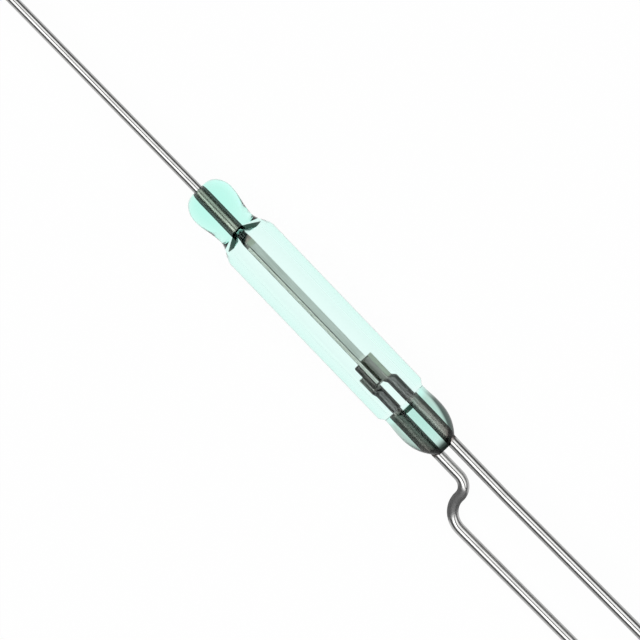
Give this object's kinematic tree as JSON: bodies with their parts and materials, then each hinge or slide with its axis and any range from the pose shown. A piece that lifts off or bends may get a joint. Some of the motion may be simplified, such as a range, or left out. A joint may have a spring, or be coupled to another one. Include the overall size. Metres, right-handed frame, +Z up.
{
  "type": "glass reed switch",
  "caption": "Changeover reed switch: a sealed glass tube with a springy armature on the common lead, moving between a closed and an open contact on the other leads.",
  "frame": {"origin": "middle of the glass, on the tube's axis", "axes": "+X along the glass towards the two fixed leads, +Z up from the surface that the switch lies on, +Y completes it"},
  "size_m": [0.0534, 0.0034, 0.0024],
  "materials": {
    "glass": "clear pale blue-green glass, fire polished",
    "lead_metal": "bright tinned nickel-iron wire",
    "blade_metal": "swaged nickel-iron, satin",
    "plate_metal": "dark plated contact metal"
  },
  "bodies": {
    "switch_body": {"glass_envelope": "glass", "common_lead": "lead_metal", "normally_open_lead": "lead_metal", "normally_closed_lead": "lead_metal", "contact_plate": "plate_metal"},
    "armature": {"armature_blade": "blade_metal"}
  },
  "joints": [
    {"name": "armature_flex", "type": "hinge", "parent": "switch_body", "child": "armature", "pos_m": [-0.00418, -0.00004, -0.00002], "axis": [0, -0.45, 0.893], "range_deg": [0, 0.33], "stiffness_Nm_per_rad": 0.02}
  ]
}
